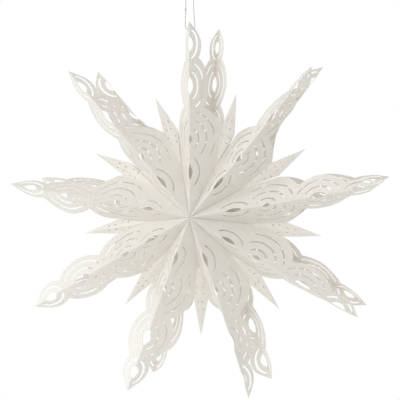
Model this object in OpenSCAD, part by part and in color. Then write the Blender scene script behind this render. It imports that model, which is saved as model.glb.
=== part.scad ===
// Paper star of folded, lace-cut bags, hung from a thread loop.
// The star lies in the XZ plane, faces -Y and hangs below the origin,
// which is the top of its thread loop. All sizes are in millimetres.

/* [Star] */
// Number of folded points round the star
points = 9; // [7:1:12]
// From the star's centre to the tips of the large points
reach = 300; // [270:1:340]
// Height of the front tips over the star's middle plane
tip_height = 78; // [60:1:90]
// Height of the centre, where all the front folds meet
centre_height = 80; // [70:1:95]
// Tilt of the large faces from the star's middle plane, in degrees
face_tilt = 65; // [62:0.5:68]
// Direction of the top point, in degrees from the horizontal
first_direction = 90; // [80:1:100]
// Thickness of the paper
paper = 0.4; // [0.3:0.1:0.6]
// Gap left at each glued seam between neighbours
seam = 0.1; // [0.05:0.05:0.2]

/* [Lace ovals] */
// From the star's centre to the middle of the tip oval
tip_oval_at = 264; // [255:1:275]
// Half the width of the tip oval
tip_oval_half = 27; // [24:1:30]
// From the star's centre to the middle of the second oval
second_oval_at = 205; // [198:1:210]
// Half the length of the second oval along the fold
second_oval_length = 48; // [42:1:52]
// Half the width of the second oval
second_oval_half = 56; // [48:1:60]
// From the star's centre to the middle of the widest oval
third_oval_at = 122; // [118:1:126]
// Half the length of the widest oval along the fold
third_oval_length = 55; // [52:1:60]
// Half the width of the widest oval
third_oval_half = 90; // [84:1:94]
// Width of the paper band outside the second oval's outer slit
second_band = 12; // [9:1:14]
// Width of the paper band outside the widest oval's outer slit
third_band = 23; // [18:1:28]
// From one curved slit to the next, across the fold
slit_spacing = 21; // [18:0.5:24]
// Width of the curved slits of the second and widest ovals, at their middle
slit = 4; // [3:0.5:6]
// Width of the curved slit of the tip oval, at its middle
tip_slit = 5; // [3:0.5:6]
// Width of the curved slit round the eye, at its middle
eye_slit = 3; // [2:0.5:4]
// Width of a curved slit at its ends
slit_end = 2; // [1:0.5:3]
// From the star's centre to the middle of the eye
eye_at = 71; // [66:1:76]
// Radius of the slit round the eye
eye_radius = 25; // [20:1:27]

/* [Small points] */
// From the star's centre to the tips of the small points
small_reach = 200; // [180:1:220]
// Where the small points leave the valleys between the large ones
small_start = 82; // [76:1:95]
// Where the notch beside a small point lies, along the large point's fold
notch_at = 136.5; // [130:0.5:142]
// Diameter of the pinholes
pinhole = 3; // [2:0.5:4]

/* [Thread] */
// Height of the loop's top over the star's centre
hang = 375; // [370:1:390]
// Diameter of the thread
thread = 1.5; // [1:0.1:2]
// Diameter of the thread's holes in the top point
thread_hole = 2.5; // [2:0.5:3]
// From the top point's tip down its fold to those holes
thread_hole_drop = 12; // [10:1:15]
// From the fold out to those holes, on the flat paper
thread_hole_side = 10; // [8:1:12]

/* [Hidden] */

white = "ivory";
step = 360 / points;
half_step = step / 2;
far = 2 * reach;
// Angle at which the front fold slopes down towards its tip
fold_slope = atan((centre_height - tip_height) / reach);
fold_length = reach / cos(fold_slope);
// The valley between two large faces, as a line y = valley * x on the flat face
valley = tan(half_step) * cos(fold_slope)
    / (cos(face_tilt) + tan(half_step) * sin(face_tilt) * sin(fold_slope));
// Drop of that valley for each millimetre away from the star's axis
valley_drop = cos(half_step) * (sin(fold_slope) + valley * sin(face_tilt) * cos(fold_slope))
    / (cos(fold_slope) - valley * sin(face_tilt) * sin(fold_slope));
// The bags stop just short of the star's axis, where all of them meet
axis_gap = 0.6;
small_start_height = centre_height - valley_drop * small_start;
valley_end = small_start * cos(half_step)
    / (cos(fold_slope) - valley * sin(face_tilt) * sin(fold_slope));
notch_side = third_oval_half * sqrt(1 - pow((notch_at - third_oval_at) / third_oval_length, 2));
// The notch in the star's own frame, then seen along and across the small point
notch_out = notch_at * cos(fold_slope) - notch_side * sin(face_tilt) * sin(fold_slope);
notch_across = notch_side * cos(face_tilt);
small_notch_out = notch_out * cos(half_step) + notch_across * sin(half_step);
small_notch_across = notch_out * sin(half_step) - notch_across * cos(half_step);
small_slope = atan(small_start_height / (small_reach - small_start));
small_tilt = atan((small_reach - small_notch_out) * sin(small_slope) / small_notch_across);
small_length = (small_reach - small_start) / cos(small_slope);
// Middle lines of the outer slits, inside their paper bands
tip_pattern_at = tip_oval_at + tip_oval_half / 9;
tip_ring = tip_oval_half * 0.78;
second_ring = second_oval_half - second_band - slit / 2;
second_ring_length = second_oval_length - second_band;
third_ring = third_oval_half - third_band - slit / 2;
third_ring_length = third_oval_length - third_band / 2;
slit_step = slit_spacing * 0.65;
// Slits as [middle along the fold, half length, half width, first angle, last angle, slit's width]
SLITS = [
    [tip_pattern_at, tip_ring, tip_ring, 14, 166, tip_slit],
    [second_oval_at, second_ring_length, second_ring, 22, 158, slit],
    [second_oval_at, second_ring_length - slit_step, second_ring - slit_spacing * 0.8, 22, 158, slit],
    [third_oval_at, third_ring_length, third_ring, 18, 128, slit],
    [third_oval_at, third_ring_length - slit_step, third_ring - slit_spacing, 20, 142, slit],
    [third_oval_at, third_ring_length - 2 * slit_step, third_ring - 2 * slit_spacing, 24, 152, slit],
    [eye_at, eye_radius - 1, eye_radius, 25, 155, eye_slit]
];
// Holes across the fold as [middle along the fold, half length, half width]
HOLES = [
    [tip_pattern_at, tip_ring * 0.57, tip_ring * 0.48],
    [second_oval_at, second_ring_length * 0.4, second_ring * 0.26],
    [third_oval_at, third_ring * 0.12, third_ring * 0.12],
    [eye_at, eye_radius * 0.56, eye_radius * 0.32]
];
// Pinholes of a small point as [distance from the star's centre, share of the way to the edge]
PINHOLES = [[119, 0.62], [129, 0.66], [143, 0.33], [155, 0.44]];
// Pinholes of the glued web between two bags as [distance from the centre, height]
WEB_PINHOLES = [[52, 14], [60, -8], [70, 6]];
thread_hole_at = [fold_length - thread_hole_drop, thread_hole_side];
// Route of the thread from its first hole over the top and back to the second
THREAD = [
    [-1, 9.3, -87.1], [-2.8, 9.1, -87], [-4.5, 8.9, -86.9], [-6.1, 8.6, -86.3], [-7.3, 8.1, -85.1],
    [-7.8, 7.4, -83.3], [-7.6, 6, -79], [-7.1, 4.4, -73], [-6.5, 2.6, -62], [-6.1, 1.2, -50],
    [-5.9, 0.3, -36], [-5.8, 0, -22], [-5.7, 0, -12], [-5.6, 0, -8], [-5, 0, -5],
    [-3.7, 0, -2.7], [-1.9, 0, -1.3], [0, 0, -0.8], [1.9, 0, -1.3], [3.7, 0, -2.7],
    [5, 0, -5], [5.6, 0, -8], [5.8, 0, -12], [6, 0, -22], [6.2, 0.3, -36],
    [6.5, 1.2, -50], [6.9, 2.6, -62], [7.4, 4.4, -73], [7.8, 6, -79], [7.9, 7.4, -83.3],
    [7.3, 8.1, -85.1], [6.1, 8.6, -86.3], [4.5, 8.9, -86.9], [2.8, 9.1, -87], [1, 9.3, -87.1]
];
thread_sides = 8;
arc_steps = 10;

function arc(middle, length, width, from, to) = [
    for (i = [0 : arc_steps]) let (a = from + (to - from) * i / arc_steps)
        [middle.x + length * cos(a), middle.y + width * sin(a)]
];

// Where two lace ovals cross, found by halving along the first one
function crossing(first, second, low, high, n = 24) =
    let (mid = (low + high) / 2)
    n == 0 ? mid
    : over(first, second, mid) ? crossing(first, second, mid, high, n - 1)
    : crossing(first, second, low, mid, n - 1);

// True where a point of the first oval lies outside the second
function over(first, second, angle) =
    let (x = first[0] + first[2] * cos(angle), y = first[1] + first[3] * sin(angle))
    pow((x - second[0]) / second[2], 2) + pow((y - second[1]) / second[3], 2) > 1;

function angle_on(oval, x) = acos((x - oval[0]) / oval[2]);

// Ovals as [middle along the fold, middle across it, half length, half width]
TIP_OVAL = [tip_oval_at, 5, tip_oval_half - 1, tip_oval_half];
SECOND_OVAL = [second_oval_at, 0, second_oval_length, second_oval_half];
THIRD_OVAL = [third_oval_at, 0, third_oval_length, third_oval_half];
tip_angle = 36;
tip_end = crossing(TIP_OVAL, SECOND_OVAL, tip_angle, 175);
tip_end_x = TIP_OVAL[0] + TIP_OVAL[2] * cos(tip_end);
second_end = crossing(SECOND_OVAL, THIRD_OVAL, 45, 175);
second_end_x = SECOND_OVAL[0] + SECOND_OVAL[2] * cos(second_end);

// One half of a large point's cut edge on the flat paper, from the axis out and back
OUTLINE = concat(
    [[axis_gap, 0], [fold_length, 0]],
    arc([TIP_OVAL[0], TIP_OVAL[1]], TIP_OVAL[2], TIP_OVAL[3], tip_angle, tip_end),
    arc([SECOND_OVAL[0], 0], SECOND_OVAL[2], SECOND_OVAL[3],
        angle_on(SECOND_OVAL, tip_end_x), second_end),
    arc([THIRD_OVAL[0], 0], THIRD_OVAL[2], THIRD_OVAL[3],
        angle_on(THIRD_OVAL, second_end_x), angle_on(THIRD_OVAL, notch_at)),
    [[valley_end, valley * valley_end], [axis_gap, valley * axis_gap]]
);

// A curved slit that narrows towards both ends
module curved_slit(middle, length, width, from, to, gap_width) {
    function gap(i) = slit_end + (gap_width - slit_end) * sin(180 * i / arc_steps);
    function at(i, side) =
        let (a = from + (to - from) * i / arc_steps, g = side * gap(i) / 2)
        [middle + (length + g) * cos(a), (width + g) * sin(a)];
    polygon(concat(
        [for (i = [0 : arc_steps]) at(i, 1)],
        [for (i = [arc_steps : -1 : 0]) at(i, -1)]
    ));
}

// A pointed hole that the fold runs through
module pointed_hole(middle, length, width) {
    polygon([for (i = [0 : arc_steps]) let (t = 2 * i / arc_steps - 1)
        [middle + length * t, i == 0 || i == arc_steps ? -1 : width * (1 - t * t)]]);
}

// One large face, cut flat
module large_face_pattern(threaded) {
    difference() {
        polygon(OUTLINE);
        for (s = SLITS) curved_slit(s[0], s[1], s[2], s[3], s[4], s[5]);
        for (h = HOLES) pointed_hole(h[0], h[1], h[2]);
        if (threaded) translate(thread_hole_at) circle(d = thread_hole, $fn = 24);
    }
}

module large_face(threaded) {
    translate([0, 0, centre_height]) rotate([0, fold_slope, 0]) rotate([-face_tilt, 0, 0])
        translate([0, 0, -paper]) linear_extrude(paper) large_face_pattern(threaded);
}

// The side of a bag that is glued to its neighbour under the valley
module web() {
    start = axis_gap / cos(half_step);
    top = centre_height - valley_drop * start;
    end = small_start_height;
    rotate([0, 0, half_step]) translate([0, -seam, 0]) rotate([90, 0, 0])
        linear_extrude(paper) difference() {
            polygon([[start, -top], [small_start, -end], [small_start, end], [start, top]]);
            for (p = WEB_PINHOLES) translate(p) circle(d = pinhole, $fn = 24);
        }
}

// The room that one half of a bag may fill, from its fold to the glued seam
module half_room() {
    gap = seam / sin(half_step);
    translate([0, 0, -far]) linear_extrude(2 * far)
        polygon([[gap, 0], [far, 0], [far, (far - gap) * tan(half_step)]]);
}

module half_bag(threaded) {
    intersection() {
        union() {
            large_face(threaded);
            mirror([0, 0, 1]) large_face(false);
            web();
        }
        half_room();
    }
}

// Puts a piece made along +X, front up, where the hanging star has it
module in_star(direction) {
    translate([-reach * cos(first_direction), tip_height, -hang])
        rotate([90, 0, 0]) rotate([0, 0, direction]) children();
}

module large_point(i) {
    color(white) in_star(first_direction - step * (i - 1)) {
        half_bag(i == 1);
        mirror([0, 1, 0]) half_bag(i == 1);
    }
}

// One face of a small point, cut flat, measured from its tip
module small_face_pattern() {
    along = (small_reach - small_notch_out) * cos(small_slope);
    side = small_notch_across / cos(small_tilt);
    margin = 2 * seam;
    difference() {
        polygon([[0, 0], [along, side - margin], [small_length - 3 * margin, 0]]);
        for (p = PINHOLES) {
            x = (small_reach - p[0]) * cos(small_slope);
            edge = x < along ? side * x / along : side * (small_length - x) / (small_length - along);
            translate([x, edge * p[1]]) circle(d = pinhole, $fn = 24);
        }
    }
}

// A quarter of a small point: the face between its front fold and its side fold
module small_quarter() {
    intersection() {
        translate([small_reach, 0, 0]) mirror([1, 0, 0])
            rotate([0, -small_slope, 0]) rotate([-small_tilt, 0, 0])
            translate([0, 0, -paper]) linear_extrude(paper) small_face_pattern();
        cube([far, far, far]);
    }
}

module small_point(i) {
    color(white) in_star(first_direction - step * (i - 0.5))
        for (side = [0, 1], back = [0, 1])
            mirror([0, side, 0]) mirror([0, 0, back]) small_quarter();
}

function unit(v) = v / norm(v);

// A tube of flat sides swept along points that run mostly in the XZ plane
module tube(route, diameter, sides) {
    last = len(route) - 1;
    function way(i) = unit(route[min(i + 1, last)] - route[max(i - 1, 0)]);
    function across(i) = unit(cross(way(i), [0, 1, 0.01]));
    function ring(i) = [for (j = [0 : sides - 1]) let (a = 360 * j / sides)
        route[i] + diameter / 2 * (cos(a) * across(i) + sin(a) * cross(way(i), across(i)))];
    polyhedron(
        points = [for (i = [0 : last]) each ring(i)],
        faces = concat(
            [[for (j = [0 : sides - 1]) sides - 1 - j]],
            [for (i = [0 : last - 1], j = [0 : sides - 1])
                [i * sides + j, i * sides + (j + 1) % sides,
                    (i + 1) * sides + (j + 1) % sides, (i + 1) * sides + j]],
            [[for (j = [0 : sides - 1]) last * sides + j]]
        )
    );
}

module hanging_thread() {
    color("whitesmoke") tube(THREAD, thread, thread_sides);
}

for (i = [1 : points]) {
    large_point(i);
    small_point(i);
}
hanging_thread();
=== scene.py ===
"""Paper advent star: large bags of lace-cut paper, short points between them, and a thread loop."""

import math

import bpy
from mathutils import Matrix, Vector


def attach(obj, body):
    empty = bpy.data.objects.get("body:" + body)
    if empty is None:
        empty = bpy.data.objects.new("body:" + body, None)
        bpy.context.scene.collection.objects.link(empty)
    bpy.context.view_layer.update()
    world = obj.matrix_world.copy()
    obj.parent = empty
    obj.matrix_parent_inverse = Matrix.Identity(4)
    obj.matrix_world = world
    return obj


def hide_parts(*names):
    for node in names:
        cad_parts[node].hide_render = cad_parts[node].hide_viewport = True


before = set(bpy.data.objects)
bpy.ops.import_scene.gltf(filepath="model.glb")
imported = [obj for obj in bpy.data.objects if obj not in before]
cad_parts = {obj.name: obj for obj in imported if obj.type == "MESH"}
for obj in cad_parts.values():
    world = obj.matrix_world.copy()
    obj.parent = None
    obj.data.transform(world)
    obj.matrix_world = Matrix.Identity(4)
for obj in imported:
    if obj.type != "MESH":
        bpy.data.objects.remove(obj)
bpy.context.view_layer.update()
bpy.ops.object.select_all(action="DESELECT")

MM = 0.001
# The star's middle, where all the front folds meet, in the row frame
STAR_MIDDLE = Vector((0, 78, -375)) * MM


def aim(piece, place, target):
    """Puts a camera or lamp at place and turns it to look at target."""
    piece.location = place
    piece.rotation_euler = (Vector(target) - Vector(place)).to_track_quat("-Z", "Y").to_euler()


# Camera: 2.5 m away, a little to the right and a little above. Its turn and rise are a fitting program's
# results, from tip places read off the photo
LOOK_AT = STAR_MIDDLE + Vector((-2.0, 0, 20.5)) * MM
CAMERA_TURN, CAMERA_RISE, CAMERA_DISTANCE = math.radians(13.3), math.radians(4.94), 2.5
camera_data = bpy.data.cameras.new("camera")
camera_data.sensor_width = 36
camera_data.lens = 139.8
camera = bpy.data.objects.new("camera", camera_data)
bpy.context.scene.collection.objects.link(camera)
aim(
    camera,
    LOOK_AT + CAMERA_DISTANCE * Vector((
        math.sin(CAMERA_TURN) * math.cos(CAMERA_RISE),
        -math.cos(CAMERA_TURN) * math.cos(CAMERA_RISE),
        math.sin(CAMERA_RISE),
    )),
    LOOK_AT,
)
bpy.context.scene.camera = camera


def linear(hex_colour):
    """A written sRGB colour such as #E8E2D8 as the linear colour that a shader takes."""
    parts = [int(hex_colour[i:i + 2], 16) / 255 for i in (1, 3, 5)]
    return [p / 12.92 if p <= 0.04045 else ((p + 0.055) / 1.055) ** 2.4 for p in parts] + [1]


def add(tree, kind, settings=None, links=None):
    """Adds a node, with its settings and what feeds its sockets."""
    node = tree.nodes.new(kind)
    for name, value in (settings or {}).items():
        if name in node.inputs:
            node.inputs[name].default_value = value
        else:
            setattr(node, name, value)
    for name, source in (links or {}).items():
        tree.links.new(source, node.inputs[name])
    return node


def new_material(name):
    material = bpy.data.materials.new(name)
    material.use_nodes = True
    material.node_tree.nodes.clear()
    return material, material.node_tree


def craft_paper():
    """Uncoated white craft paper: matt, warm white, with cloudy pulp and fine fibres."""
    material, tree = new_material("uncoated craft paper")
    place = add(tree, "ShaderNodeTexCoord").outputs["Object"]
    # Pulp clouds about 9 mm across
    clouds = add(tree, "ShaderNodeTexNoise", {"Scale": 110, "Detail": 3, "Roughness": 0.6}, {"Vector": place})
    # Fibres are finer than 0.1 mm, drawn about 1 mm apart so that they show
    fibres = add(tree, "ShaderNodeTexNoise", {"Scale": 900, "Detail": 2, "Roughness": 0.7}, {"Vector": place})
    tone = add(tree, "ShaderNodeMix", {"data_type": "RGBA"}, {"Factor": clouds.outputs["Fac"]})
    tone.inputs["A"].default_value = linear("#F4F2EE")
    tone.inputs["B"].default_value = linear("#F9F8F5")
    tooth = add(tree, "ShaderNodeBump", {"Strength": 0.3, "Distance": 0.00003}, {
        "Height": fibres.outputs["Fac"],
    })
    sheet = add(tree, "ShaderNodeBsdfPrincipled", {"Roughness": 0.92, "IOR": 1.45}, {
        "Base Color": tone.outputs["Result"],
        "Normal": tooth.outputs["Normal"],
    })
    # Part of the light goes through each face of the thin sheet
    through = add(tree, "ShaderNodeBsdfTranslucent", links={"Color": tone.outputs["Result"]})
    both = add(tree, "ShaderNodeMixShader", links={1: sheet.outputs["BSDF"], 2: through.outputs["BSDF"]})
    both.inputs["Fac"].default_value = 0.28
    add(tree, "ShaderNodeOutputMaterial", links={"Surface": both.outputs["Shader"]})
    return material


def cotton_thread():
    """Off-white twisted cotton thread, dull, with its strands wound round it and painted shade in the grooves
    between them.
    """
    material, tree = new_material("twisted cotton thread")
    place = add(tree, "ShaderNodeTexCoord").outputs["Object"]
    # Painted shade: darker diagonal bands for the grooves between the twisted plies, drawn 3 mm apart
    groove_shade_bands = {"wave_type": "BANDS", "bands_direction": "DIAGONAL", "Scale": 100}
    twist = add(tree, "ShaderNodeTexWave", groove_shade_bands, {"Vector": place})
    tone = add(tree, "ShaderNodeMix", {"data_type": "RGBA"}, {"Factor": twist.outputs["Fac"]})
    # The darker colour is the painted groove shade, the lighter one the thread's own off-white
    tone.inputs["A"].default_value = linear("#A9A39B")
    tone.inputs["B"].default_value = linear("#CFCAC2")
    cotton = add(tree, "ShaderNodeBsdfPrincipled", {"Roughness": 0.95}, {
        "Base Color": tone.outputs["Result"],
    })
    add(tree, "ShaderNodeOutputMaterial", links={"Surface": cotton.outputs["BSDF"]})
    return material


paper, thread = craft_paper(), cotton_thread()


def dress(piece, material):
    piece.data.materials.clear()
    piece.data.materials.append(material)


for name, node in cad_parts.items():
    dress(node, thread if name == "hanging_thread" else paper)

# The folded paper's own measures: each large face is tilted from the star's middle plane about its bag's fold
POINTS, REACH, TIP_HEIGHT, CENTRE_HEIGHT = 9, 300, 78, 80
FACE_TILT = math.radians(65)
FOLD_SLOPE = math.atan((CENTRE_HEIGHT - TIP_HEIGHT) / REACH)
# Direction of the top point, and from one large point to the next, in degrees
TOP_DIRECTION, STEP = 90, 360 / POINTS
# Along the point: where it starts to bend, where the lace comes free of its neighbours, the middle of the
# second oval, the neck before the tip oval, and the tip oval's middle
BENDS_FROM, FREE_FROM, SECOND_OVAL, NECK, TIP_OVAL = 110, 136, 205, 236, 270
# A tip that leans comes in by the square of its lean over this, in mm
BEND_SPAN = 420
# A large face is cut across at these places along the point, so that it can bend
SCORES = range(100, 297, 4)
# Along a short point: where it leaves the valley, and its tip
SHORT_START, SHORT_REACH = 82, 200
# Edges flatter than this are drawn smooth
SMOOTH_UNDER = math.radians(25)

# How the bags settled when the star was fanned out, clockwise from the top: how far the tip leans
# anticlockwise and reaches out, in mm, and how much steeper the left and the right face came to lie at the
# second oval and at the tip, in degrees. These are a fitting program's results, rounded to whole numbers,
# and some were then changed
FRONT_SETTLED = [
    # lean, longer, left second, left tip, right second, right tip
    (1, 5, -3, 1, 8, 2),
    (5, 3, 4, 9, 14, 2),
    (5, 2, -8, 2, 2, 4),
    (4, 4, 0, 2, 8, 9),
    (-8, -2, 4, 4, 26, 18),
    (-1, -2, -10, -5, -17, -23),
    (2, -3, -9, -11, -12, -21),
    (5, -1, -17, -8, 12, 10),
    (5, 1, -8, -8, 9, 8),
]
BACK_SETTLED = [
    (-12, -3, 16, 14, -8, -6),
    (9, -2, 6, -5, 24, 16),
    (6, -1, -4, 6, 3, 2),
    (-3, 0, -6, 0, 9, 5),
    (-1, 0, -5, -2, -4, -12),
    (1, -2, -8, -6, 7, -3),
    (6, 0, 0, 4, 6, 2),
    (7, 0, -8, -15, 6, 10),
    (5, 0, -3, -6, 16, 10),
]
# Short points, clockwise from the one beside the top: how far the tip leans anticlockwise, in mm, as a
# fitting program solved it from tip places read off the photo
SHORT_LEANS = [11.8, 6.3, 1.7, 1.0, -0.5, 0.7, 3.4, 7.7, 8.4]

# The thread's route from its first hole in the top bag over the top and back to the second, in mm
THREAD_ROUTE = [
    (-1, 9.3, -87.1), (-2.8, 9.1, -87), (-4.5, 8.9, -86.9), (-6.1, 8.6, -86.3), (-7.3, 8.1, -85.1),
    (-7.8, 7.4, -83.3), (-7.6, 6, -79), (-7.1, 4.4, -73), (-6.5, 2.6, -62), (-6.1, 1.2, -50),
    (-5.9, 0.3, -36), (-5.8, 0, -22), (-5.7, 0, -12), (-5.6, 0, -8), (-5, 0, -5), (-3.7, 0, -2.7),
    (-1.9, 0, -1.3), (0, 0, -0.8), (1.9, 0, -1.3), (3.7, 0, -2.7), (5, 0, -5), (5.6, 0, -8),
    (5.8, 0, -12), (6, 0, -22), (6.2, 0.3, -36), (6.5, 1.2, -50), (6.9, 2.6, -62), (7.4, 4.4, -73),
    (7.8, 6, -79), (7.9, 7.4, -83.3), (7.3, 8.1, -85.1), (6.1, 8.6, -86.3), (4.5, 8.9, -86.9),
    (2.8, 9.1, -87), (1, 9.3, -87.1),
]
# The thread's thickness, how far it goes in one twist of its two plies, and how flat the pair of plies is
THREAD, TWIST, PLY_FLATNESS = 1.5, 4, 0.62
# The small knot on the thread's left side: its height, its length, and its own thread's share of the thickness
KNOT_HEIGHT, KNOT_LENGTH, KNOT_SHARE = -54, 3.4, 0.7
# Below the top of the loop: where the thread starts to move with its holes, and where it wholly does
HANGS_FREE, HELD = 36, 79


def star_frame(direction):
    """The frame of one point: x out along it, y across it to the left of a viewer in front, z to the front."""
    turned = Matrix.Rotation(math.radians(90), 4, "X") @ Matrix.Rotation(math.radians(direction), 4, "Z")
    return Matrix.Translation(STAR_MIDDLE) @ turned @ Matrix.Scale(MM, 4)


def select_only(piece):
    bpy.ops.object.select_all(action="DESELECT")
    piece.select_set(True)
    bpy.context.view_layer.objects.active = piece


def copy_of(node, name):
    """A copy of a node's mesh as a piece of its own, with its loose triangles joined up."""
    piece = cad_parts[node].copy()
    piece.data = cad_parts[node].data.copy()
    piece.name = piece.data.name = name
    for key in [k for k in piece.keys() if k.startswith("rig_")]:
        del piece[key]
    piece.parent = None
    bpy.context.scene.collection.objects.link(piece)
    select_only(piece)
    bpy.ops.object.mode_set(mode="EDIT")
    bpy.ops.mesh.select_all(action="SELECT")
    bpy.ops.mesh.remove_doubles(threshold=0.00001)
    bpy.ops.object.mode_set(mode="OBJECT")
    if piece.data.has_custom_normals:
        bpy.ops.mesh.customdata_custom_splitnormals_clear()
    return piece


def score(piece, place, stations):
    """Cuts a piece's faces across at stations along its point, so that it can bend there."""
    select_only(piece)
    bpy.ops.object.mode_set(mode="EDIT")
    for x in stations:
        bpy.ops.mesh.select_all(action="SELECT")
        bpy.ops.mesh.bisect(plane_co=place @ Vector((x, 0, 0)), plane_no=place.to_3x3() @ Vector((1, 0, 0)))
    bpy.ops.object.mode_set(mode="OBJECT")


def between(x, stations, values):
    """The value at x on a line of straight stretches through the stations."""
    for i in range(1, len(stations)):
        if x <= stations[i]:
            share = max(x - stations[i - 1], 0) / (stations[i] - stations[i - 1])
            return values[i - 1] + share * (values[i] - values[i - 1])
    return values[-1]


def settled(point, front, back):
    """Where a point of a bag goes, in its own frame, when its faces turn about the fold and its tip leans."""
    lean, longer, left_second, left_tip, right_second, right_tip = front if point.z > 0 else back
    outwards = 1 if point.z > 0 else -1
    side = 1 if point.y > 0 else -1
    # Across the face from the fold, and how deep in the paper
    drop = CENTRE_HEIGHT - point.x * math.tan(FOLD_SLOPE) - abs(point.z)
    across = abs(point.y) * math.cos(FACE_TILT) + drop * math.sin(FACE_TILT)
    depth = abs(point.y) * math.sin(FACE_TILT) - drop * math.cos(FACE_TILT)
    # No turn where the neighbours are glued together
    turns = (0, left_second, left_tip) if side > 0 else (0, right_second, right_tip)
    tilt = FACE_TILT + math.radians(between(point.x, (FREE_FROM, SECOND_OVAL, TIP_OVAL), turns))
    # A point on the fold itself stays on it
    if abs(point.y) > 0.01:
        new_y = across * math.cos(tilt) + depth * math.sin(tilt)
        new_drop = across * math.sin(tilt) - depth * math.cos(tilt)
    else:
        new_y, new_drop = 0, drop
    # The tip's way grows along the point as in a bent strip, and the tip oval alone takes up the reach
    share = (max(point.x - BENDS_FROM, 0) / (REACH - BENDS_FROM)) ** 1.5
    tip_share = max(point.x - NECK, 0) / (REACH - NECK)
    return Vector((
        point.x + longer * tip_share - lean ** 2 / BEND_SPAN * share,
        side * new_y + lean * share,
        point.z + outwards * (drop - new_drop),
    ))


def thread_place(point):
    """Where a point of the thread's route goes, in metres: low down it moves with the holes in the top bag."""
    point = Vector(point) * MM
    place = star_frame(TOP_DIRECTION)
    moved = place @ settled(place.inverted() @ point, FRONT_SETTLED[0], BACK_SETTLED[0])
    return point.lerp(moved, between(-point.z / MM, (HANGS_FREE, HELD), (0, 1)))


def two_ply(name, route, thickness, twist):
    """A thread of two plies wound round each other along a route, with its ends closed, and its length."""
    bpy.ops.curve.primitive_bezier_circle_add(radius=thickness / 2)
    profile = bpy.context.object
    profile.scale = (1, PLY_FLATNESS, 1)
    line = bpy.data.curves.new(name, "CURVE")
    line.dimensions = "3D"
    line.bevel_mode = "OBJECT"
    line.bevel_object = profile
    line.use_fill_caps = True
    steps = []
    for start, end in zip(route, route[1:]):
        count = max(1, round((end - start).length / (thickness * 0.5)))
        steps += [start.lerp(end, n / count) for n in range(count)]
    steps.append(route[-1])
    spline = line.splines.new("POLY")
    spline.points.add(len(steps) - 1)
    along = 0
    for n, step in enumerate(steps):
        along += (step - steps[n - 1]).length if n else 0
        spline.points[n].co = (*step, 1)
        spline.points[n].tilt = 2 * math.pi * along / twist
    piece = bpy.data.objects.new(name, line)
    bpy.context.scene.collection.objects.link(piece)
    select_only(piece)
    bpy.ops.object.convert(target="MESH")
    bpy.data.objects.remove(profile)
    return piece, along


def hanging_loop():
    """The thread loop and the knot on its left side, two and a half turns of a finer thread."""
    route = [thread_place(point) for point in THREAD_ROUTE]
    loop, loop_length = two_ply("thread_loop", route, THREAD * MM, TWIST * MM)
    middle = next(a.lerp(b, 0.5) for a, b in zip(route, route[1:]) if b.z > KNOT_HEIGHT * MM)
    turns = [math.radians(30) * n for n in range(31)]
    coil = [
        middle + Vector((math.cos(turn), math.sin(turn), (turn / turns[-1] - 0.5) * KNOT_LENGTH)) * MM
        for turn in turns
    ]
    knot, _ = two_ply("thread_knot", coil, THREAD * KNOT_SHARE * MM, TWIST * MM)
    for piece in (loop, knot):
        select_only(piece)
        bpy.ops.object.shade_smooth()
        dress(piece, thread)
        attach(piece, "root")
    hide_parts("hanging_thread")


def finish_paper(piece, node):
    """Smooths a paper piece between its folds, and puts it in its node's place."""
    select_only(piece)
    bpy.ops.object.shade_smooth_by_angle(angle=SMOOTH_UNDER)
    dress(piece, paper)
    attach(piece, "root")
    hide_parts(node)


def folded_bag(i):
    place = star_frame(TOP_DIRECTION - STEP * i)
    away = place.inverted()
    bag = copy_of(f"large_point_{i + 1}", f"folded_bag_{i + 1}")
    score(bag, place, SCORES)
    for vertex in bag.data.vertices:
        vertex.co = place @ settled(away @ vertex.co, FRONT_SETTLED[i], BACK_SETTLED[i])
    finish_paper(bag, f"large_point_{i + 1}")


def short_point(i):
    place = star_frame(TOP_DIRECTION - STEP / 2 - STEP * i)
    away = place.inverted()
    short = copy_of(f"small_point_{i + 1}", f"short_point_{i + 1}")
    for vertex in short.data.vertices:
        point = away @ vertex.co
        along = max((point.x - SHORT_START) / (SHORT_REACH - SHORT_START), 0)
        point.y += SHORT_LEANS[i] * along ** 1.5
        vertex.co = place @ point
    finish_paper(short, f"small_point_{i + 1}")


hanging_loop()
for i in range(POINTS):
    folded_bag(i)
    short_point(i)
bpy.ops.object.select_all(action="DESELECT")


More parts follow.
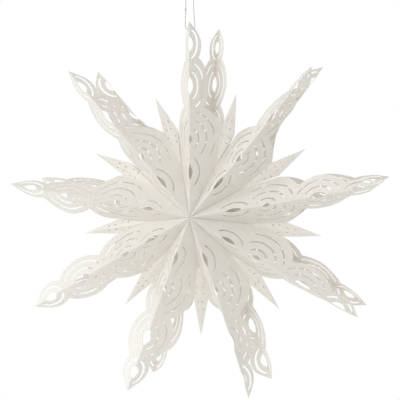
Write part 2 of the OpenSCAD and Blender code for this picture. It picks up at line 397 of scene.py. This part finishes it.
def pale_floor():
    """Pale floor under the star, white where the camera sees it."""
    material, tree = new_material("pale floor")
    seen = add(tree, "ShaderNodeLightPath").outputs["Is Camera Ray"]
    matt = add(tree, "ShaderNodeBsdfDiffuse", {"Color": linear("#F2F2F0")})
    white = add(tree, "ShaderNodeEmission", {"Color": (1, 1, 1, 1), "Strength": 1})
    both = add(tree, "ShaderNodeMixShader", links={0: seen, 1: matt.outputs[0], 2: white.outputs[0]})
    add(tree, "ShaderNodeOutputMaterial", links={"Surface": both.outputs[0]})
    bpy.ops.mesh.primitive_plane_add(size=3, location=(0, 0, -1.3))
    floor = bpy.context.object
    floor.name = "floor"
    dress(floor, material)
    bpy.ops.object.select_all(action="DESELECT")


def white_room():
    """Soft room light, and a white surround where the camera looks past the star."""
    world = bpy.data.worlds.new("studio")
    bpy.context.scene.world = world
    world.use_nodes = True
    tree = world.node_tree
    tree.nodes.clear()
    seen = add(tree, "ShaderNodeLightPath").outputs["Is Camera Ray"]
    room = add(tree, "ShaderNodeBackground", {"Color": (1, 0.995, 0.985, 1), "Strength": 0.68})
    surround = add(tree, "ShaderNodeBackground", {"Color": (1, 1, 1, 1), "Strength": 1})
    both = add(tree, "ShaderNodeMixShader", links={0: seen, 1: room.outputs[0], 2: surround.outputs[0]})
    add(tree, "ShaderNodeOutputWorld", links={"Surface": both.outputs[0]})


def soft_lamp(name, place, watts, size):
    data = bpy.data.lights.new(name, "AREA")
    data.shape = "DISK"
    data.size = size
    data.energy = watts
    lamp = bpy.data.objects.new(name, data)
    bpy.context.scene.collection.objects.link(lamp)
    aim(lamp, place, STAR_MIDDLE)


pale_floor()
white_room()
# Places and sizes in metres
soft_lamp("window from the left", (-2.2, -1.6, 0.2), 14, 1.6)
soft_lamp("fill from the front", (-0.2, -2.7, 0.3), 25, 1.6)
soft_lamp("glow of the white backdrop", (0.2, 2.4, -0.2), 20, 2.0)

# Light goes many times to and fro between the white folds
bpy.context.scene.cycles.max_bounces = 24
bpy.context.scene.cycles.diffuse_bounces = 24
bpy.context.scene.cycles.use_adaptive_sampling = False
bpy.context.scene.view_settings.view_transform = "Standard"
